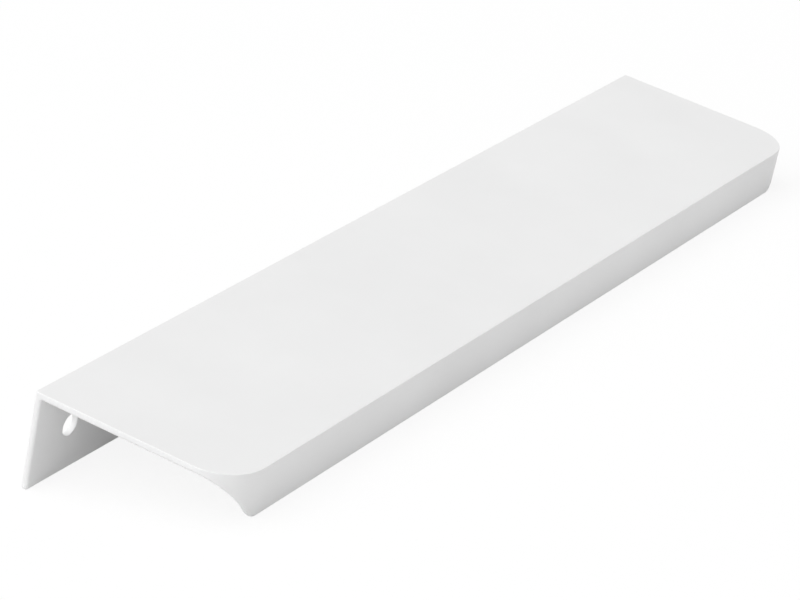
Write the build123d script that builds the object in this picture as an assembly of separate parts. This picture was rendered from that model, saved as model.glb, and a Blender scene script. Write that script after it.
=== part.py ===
from build123d import *
import math
import os

# An edge pull for a drawer or a cabinet door, cut from one drawn aluminium section.
# Sizes are in millimetres. X runs along the door's edge, +Y points to the back of the door.

# Section: a thin plate, a leg that goes down behind the door, and a finger lip in front
depth = 40.9  # from the lip's front face to the leg's back face
wall = 1.3  # plate and leg
leg_height = 19.0  # from the plate's top face to the leg's foot
lip_height = 9.3  # from the plate's top face to the lip's tip
lip_taper = 14.0  # degrees between the lip's front face and its inner face
hollow_radius = 7.0  # finger hollow, between the plate's underside and the lip's inner face
inner_radius = 0.3  # between the plate's underside and the leg
edge_radius = 0.5  # every outer edge but the plate's upper one, and the lip's round tip
upper_edge_radius = 0.15  # all round the plate's top face

# Blank: the cut length, and what is machined into it
length = 213.4
corner_radius = 8.8  # front corners, seen from above
screw_inset = 10.7  # from each end to the screw beside it
screw_drop = 10.0  # from the plate's top face down to the screws
screw_bore = 4.2
rim_radius = 0.2  # rims of the screw holes

# The body is drawn slimmer than it is, by the edge radius on every side, and then grown by that
# radius, which rounds every outer edge and corner alike. The plate is drawn too thick for this, so
# that its top face can be cut flat and get a smaller rounding. These are the slim section's lines.
front = edge_radius
back = depth - edge_radius
raw_top = edge_radius
under = edge_radius - wall
leg_inner = depth - wall + edge_radius
foot = edge_radius - leg_height
tip = edge_radius - lip_height


def slim_section():
    """The drawn outline on the plane of Y and Z. The lip's point in it becomes the round tip."""
    hollow_corner = (front + (under - tip) * math.tan(math.radians(lip_taper)), under)
    leg_corner = (leg_inner, under)
    with BuildSketch(Plane.YZ) as section:
        with BuildLine():
            Polyline(
                (front, tip),
                hollow_corner,
                leg_corner,
                (leg_inner, foot),
                (back, foot),
                (back, raw_top),
                (front, raw_top),
                close=True,
            )
        make_face()
        for corner, radius in ((hollow_corner, hollow_radius), (leg_corner, inner_radius)):
            fillet(section.vertices().sort_by_distance(corner)[0], radius + edge_radius)
    return section.sketch


def slim_plan():
    """The plate seen from above, with its two front corners rounded."""
    plan = Pos(0, depth / 2) * Rectangle(length - 2 * edge_radius, depth - 2 * edge_radius)
    front_corners = plan.vertices().group_by(Axis.Y)[0]
    return fillet(front_corners, corner_radius - edge_radius)


def screw_hole(x):
    """A plain round hole through the leg."""
    centre = (x, depth - wall / 2, -screw_drop)
    return Pos(*centre) * Rot(90, 0, 0) * Cylinder(screw_bore / 2, wall * 2)


def is_rim(edge):
    """Whether an edge is the rim of a screw hole."""
    return edge.geom_type == GeomType.CIRCLE and math.isclose(edge.radius, screw_bore / 2)


slim_blank = extrude(slim_section(), length / 2 - edge_radius, both=True)
slim_body = slim_blank & extrude(slim_plan(), leg_height, both=True)
profile = offset(slim_body, edge_radius, kind=Kind.ARC)

profile = split(profile, Plane.XY, keep=Keep.BOTTOM)
top_face = profile.faces().sort_by(Axis.Z)[-1]
profile = fillet(top_face.edges(), upper_edge_radius)

for side in (-1, 1):
    profile -= screw_hole(side * (length / 2 - screw_inset))
profile = fillet(profile.edges().filter_by(is_rim), rim_radius)

# The handle is stored as it stands by itself, on the lip's tip and the leg's foot. Both have the
# same rounding, so the floor is parallel to the line through the centres of their arcs.
resting_tilt = math.degrees(math.atan2(tip - foot, leg_inner - front))
profile = Rot(resting_tilt, 0, 0) * profile
box = profile.bounding_box()
profile = Pos(-box.center().X, -box.center().Y, -box.min.Z) * profile

profile.label = "handle_profile"
os.makedirs("parts", exist_ok=True)
export_step(profile, "parts/handle_profile.step")
print("tilt", round(resting_tilt, 3), "volume", round(profile.volume, 1), "box", box.size)
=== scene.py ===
# %% [markdown]
# A white edge pull for a drawer. The object is one piece: a strip of drawn aluminium, cut to
# length, with its two front corners rounded, and powder coated white. Its shape comes finished from
# the CAD model, at its real size and in metres. This lesson gives it its coat, a pale floor, soft
# light and a camera, and it never touches the shape.

# %% Load the finished shape
import math

import bpy
from mathutils import Matrix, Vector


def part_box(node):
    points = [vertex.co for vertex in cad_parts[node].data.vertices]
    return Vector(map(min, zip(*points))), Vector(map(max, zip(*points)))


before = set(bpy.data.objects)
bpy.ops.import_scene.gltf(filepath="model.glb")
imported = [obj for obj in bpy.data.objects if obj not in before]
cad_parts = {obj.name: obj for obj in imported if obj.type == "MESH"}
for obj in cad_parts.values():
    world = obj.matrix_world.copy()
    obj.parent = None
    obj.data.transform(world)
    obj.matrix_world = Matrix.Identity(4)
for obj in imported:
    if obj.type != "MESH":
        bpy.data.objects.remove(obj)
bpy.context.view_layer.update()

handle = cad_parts["handle_profile"]
lowest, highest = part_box("handle_profile")
print("handle, mm:", [round(1000 * side, 1) for side in highest - lowest])
print("faces:", len(handle.data.polygons), "slots:", [slot.name for slot in handle.material_slots])

# %% [markdown]
# Every later choice is judged through the camera, so it comes first. It looks from the left front,
# about twenty degrees above the floor, along the handle. A constraint could aim it, but a chain of
# turns and shifts also holds the small tilt to the side that the picture has: turn about the
# upright axis, pitch down, step back, and roll. A long lens from far away keeps the far end nearly
# as wide as the near one, which is how a catalogue shows such a part.

# %% Turns and shifts


def facing(azimuth, elevation):
    """A turn and a pitch after which the local Z axis points out at that azimuth and elevation."""
    turn = Matrix.Rotation(math.radians(azimuth), 4, "Z")
    pitch = Matrix.Rotation(math.radians(90 - elevation), 4, "X")
    return turn @ pitch


def shift(x, y, z):
    """A straight move by those distances."""
    return Matrix.Translation((x, y, z))


def add_object(name, data):
    """Puts a new object with that data into the scene."""
    item = bpy.data.objects.new(name, data)
    bpy.context.scene.collection.objects.link(item)
    return item


# %% Place the camera
camera_azimuth = -58.65
camera_elevation = 19.45
camera_roll = -1.48
camera_distance = 0.7020
camera_aim = (-0.00608, 0.00686, 0.00482)
lens_mm = 166.75
sensor_mm = 36.0
nearest_seen = 0.01

lens = bpy.data.cameras.new("camera")
lens.lens = lens_mm
lens.sensor_width = sensor_mm
lens.clip_start = nearest_seen
camera = add_object("camera", lens)
view = shift(*camera_aim) @ facing(camera_azimuth, camera_elevation)
roll = Matrix.Rotation(math.radians(camera_roll), 4, "Z")
camera.matrix_world = view @ shift(0, 0, camera_distance) @ roll
bpy.context.scene.camera = camera
print("camera at", [round(x, 3) for x in camera.matrix_world.translation])

# %% [markdown]
# A powder coat starts as a dry plastic powder. It is sprayed on with a charge, sticks to the metal
# and melts in an oven into a skin less than a tenth of a millimetre thick. Three things tell it
# from plain plastic. The melt never levels out fully, so the skin has soft waves a few millimetres
# long, called orange peel. Grains that melted late leave a much finer grain on the waves. And the
# sheen drifts slowly from place to place, because the oven heats the metal unevenly.
#
# The waves could be real geometry, but they are about a hundredth of a millimetre high, far below
# any outline. An image could hold them, but it would need a flat map of the handle and would blur
# up close. Noise in three dimensions needs neither, and it runs round every edge without a seam.

# %% Helpers for shader nodes


def new_node(tree, kind, **settings):
    """Adds a node to a tree and sets its properties."""
    node = tree.nodes.new(kind)
    for name, value in settings.items():
        setattr(node, name, value)
    return node


def join(tree, source, target):
    """Links an output socket to an input socket, or sets the input to a plain number."""
    if isinstance(source, (int, float)):
        target.default_value = source
    else:
        tree.links.new(source, target)


def arithmetic(tree, operation, first, second):
    """Adds a Math node and returns its result."""
    node = new_node(tree, "ShaderNodeMath", operation=operation)
    join(tree, first, node.inputs[0])
    join(tree, second, node.inputs[1])
    return node.outputs[0]


def noise(tree, place, waves_per_metre, detail):
    """Soft noise between 0 and 1, with that many waves to a metre."""
    node = new_node(tree, "ShaderNodeTexNoise")
    join(tree, place, node.inputs["Vector"])
    join(tree, waves_per_metre, node.inputs["Scale"])
    join(tree, detail, node.inputs["Detail"])
    return node.outputs["Fac"]


# %% [markdown]
# The relief and the drift of the sheen go into one node group, so that the material below stays
# short and each effect has a name and a number. The group puts out a height and a mask only. The
# shader itself stays in the material.

# %% Node group for the film of melted powder
def powder_film_group():
    group = bpy.data.node_groups.new("powder_film", "ShaderNodeTree")
    for name, kind in (
        ("Place", "NodeSocketVector"),
        ("Peel Waves per Metre", "NodeSocketFloat"),
        ("Grains per Metre", "NodeSocketFloat"),
        ("Grain Share", "NodeSocketFloat"),
        ("Drift Waves per Metre", "NodeSocketFloat"),
    ):
        group.interface.new_socket(name, in_out="INPUT", socket_type=kind)
    for name in ("Height", "Drift"):
        group.interface.new_socket(name, in_out="OUTPUT", socket_type="NodeSocketFloat")

    given = new_node(group, "NodeGroupInput").outputs
    result = new_node(group, "NodeGroupOutput").inputs
    peel = noise(group, given["Place"], given["Peel Waves per Metre"], detail=1)
    grain = noise(group, given["Place"], given["Grains per Metre"], detail=2)
    grain_height = arithmetic(group, "MULTIPLY", grain, given["Grain Share"])
    join(group, arithmetic(group, "ADD", peel, grain_height), result["Height"])
    drift = noise(group, given["Place"], given["Drift Waves per Metre"], detail=3)
    join(group, drift, result["Drift"])
    return group


powder_film = powder_film_group()
print("group", powder_film.name, "has", len(powder_film.nodes), "nodes")

# %% [markdown]
# The white is the plain white of kitchen fittings, with no tint. Its tone and its roughness follow
# the slow drift, the tone within three hundredths and the roughness within a tenth. The height goes
# through a Bump node to the normal. Metallic stays at zero, because the light never reaches the
# metal under the skin.

# %% Tone and sheen of the coat
white_low = 0.845
white_high = 0.875
satin_low = 0.36
satin_high = 0.46


def between(tree, mask, low, high):
    """Spreads the middle half of a mask over a range of values."""
    node = new_node(tree, "ShaderNodeMapRange")
    join(tree, mask, node.inputs["Value"])
    for name, value in (("From Min", 0.25), ("From Max", 0.75), ("To Min", low), ("To Max", high)):
        node.inputs[name].default_value = value
    return node.outputs["Result"]


print("tone", white_low, "to", white_high, "and roughness", satin_high, "to", satin_low)

# %% White powder coat
film_ior = 1.5
peel_depth = 0.00002  # metres for a height of 1
film_look = {
    "Peel Waves per Metre": 450,
    "Grains per Metre": 3500,
    "Grain Share": 0.2,
    "Drift Waves per Metre": 40,
}


def white_powder_coat():
    material = bpy.data.materials.new("white_powder_coat")
    material.use_nodes = True
    tree = material.node_tree
    shader = tree.nodes["Principled BSDF"].inputs
    shader["IOR"].default_value = film_ior

    film = new_node(tree, "ShaderNodeGroup", node_tree=powder_film)
    join(tree, new_node(tree, "ShaderNodeTexCoord").outputs["Object"], film.inputs["Place"])
    for name, value in film_look.items():
        film.inputs[name].default_value = value

    drift = film.outputs["Drift"]
    join(tree, between(tree, drift, white_low, white_high), shader["Base Color"])
    join(tree, between(tree, drift, satin_high, satin_low), shader["Roughness"])

    bump = new_node(tree, "ShaderNodeBump")
    bump.inputs["Distance"].default_value = peel_depth
    join(tree, film.outputs["Height"], bump.inputs["Height"])
    join(tree, bump.outputs["Normal"], shader["Normal"])
    return material


coat = white_powder_coat()
for slot in handle.material_slots:
    slot.material = coat
print("coat", coat.name, "on", [slot.name for slot in handle.material_slots])

# %% [markdown]
# The part is shown on pure white, with no more than a breath of shadow under it. A brighter lamp
# would burn the floor out to white, but it would burn out the white handle as well. So the floor
# has two looks, and Light Path chooses between them. To the camera, and to rays mirrored by the
# coat, it is almost a lamp of strength one, which is white, with a little matt white mixed in so
# that the shadow still shows. To all other rays it is a plain pale floor, which throws light up
# under the plate as a real table does.

# %% Rays that see the floor directly


def seen_directly(tree):
    """1 for rays from the camera and for mirrored and refracted ones, and 0 for scattered light."""
    path = new_node(tree, "ShaderNodeLightPath").outputs
    mirrored = arithmetic(tree, "MAXIMUM", path["Is Camera Ray"], path["Is Glossy Ray"])
    return arithmetic(tree, "MAXIMUM", mirrored, path["Is Transmission Ray"])


# %% Floor material
white = (1, 1, 1, 1)
pale = (0.8, 0.8, 0.8, 1)
white_strength = 1.0
shadow_share = 0.12


def matt(tree, colour):
    """A surface without any gloss."""
    shader = new_node(tree, "ShaderNodeBsdfDiffuse")
    shader.inputs["Color"].default_value = colour
    return shader.outputs[0]


def mix(tree, share, first, second):
    """The first shader, with a share of the second one."""
    shader = new_node(tree, "ShaderNodeMixShader")
    join(tree, share, shader.inputs["Fac"])
    join(tree, first, shader.inputs[1])
    join(tree, second, shader.inputs[2])
    return shader.outputs[0]


def pale_floor():
    material = bpy.data.materials.new("pale_floor")
    material.use_nodes = True
    tree = material.node_tree
    tree.nodes.remove(tree.nodes["Principled BSDF"])
    glow = new_node(tree, "ShaderNodeEmission")
    glow.inputs["Strength"].default_value = white_strength
    shown = mix(tree, shadow_share, glow.outputs[0], matt(tree, white))
    either = mix(tree, seen_directly(tree), matt(tree, pale), shown)
    join(tree, either, tree.nodes["Material Output"].inputs["Surface"])
    return material


floor_material = pale_floor()
print("floor material has", len(floor_material.node_tree.nodes), "nodes")

# %% Floor
floor_size = 8.0

half = floor_size / 2
corners = [(-half, -half, 0), (half, -half, 0), (half, half, 0), (-half, half, 0)]
floor_mesh = bpy.data.meshes.new("floor")
floor_mesh.from_pydata(corners, [], [(0, 1, 2, 3)])
floor_mesh.materials.append(floor_material)
floor = add_object("floor", floor_mesh)
print("floor", floor_size, "m wide")

# %% [markdown]
# The room is a plain white glow from all sides. Like the floor it has two looks. As the background
# its strength is one, which is white. As light it is much weaker, so that the lamps can give the
# handle its shading.

# %% Room
room_strength = 0.3


def white_room():
    world = bpy.data.worlds.new("white_room")
    world.use_nodes = True
    tree = world.node_tree
    background = tree.nodes["Background"].inputs
    background["Color"].default_value = white
    strength = new_node(tree, "ShaderNodeMix", data_type="FLOAT")
    strength.inputs["A"].default_value = room_strength
    strength.inputs["B"].default_value = white_strength
    join(tree, seen_directly(tree), strength.inputs["Factor"])
    join(tree, strength.outputs["Result"], background["Strength"])
    return world


bpy.context.scene.world = white_room()
print("room", room_strength, "as light,", white_strength, "as background")

# %% [markdown]
# The room alone would be enough to see by, but it leaves no direction, and a white part on white
# then loses its edges. So there are three soft lamps. The key is high at the back left, and it
# makes the plate the brightest face. It is wider than it is far away: a small key of the same power
# would be mirrored in the plate as a patch of burnt out white when somebody looks from the front. A
# long low lamp at the front left shines in under the plate, where its light fades along the screw
# leg. A small low one at the front right keeps the lip from going grey. Each stays clear of the
# floor, and far enough away to keep the tone even along the handle.

# %% Lamps
lamp_distance = 3.0


def soft_lamp(name, azimuth, elevation, width, height, watts):
    """A lamp of that size that points at the handle from that side."""
    light = bpy.data.lights.new(name, "AREA")
    light.shape = "RECTANGLE"
    light.size = width
    light.size_y = height
    light.energy = watts
    lamp = add_object(name, light)
    lamp.matrix_world = facing(azimuth, elevation) @ shift(0, 0, lamp_distance)
    print(name, watts, "W at", [round(x, 2) for x in lamp.matrix_world.translation])


soft_lamp("key_lamp", azimuth=-130, elevation=55, width=4.4, height=4.4, watts=115)
soft_lamp("left_lamp", azimuth=-45, elevation=15, width=3.0, height=1.5, watts=19)
soft_lamp("right_lamp", azimuth=60, elevation=15, width=1.5, height=1.5, watts=9)

# %% [markdown]
# The Standard view shows a colour about as it is written, where the default one would grey the
# whites.

# %% View
bpy.context.scene.view_settings.view_transform = "Standard"
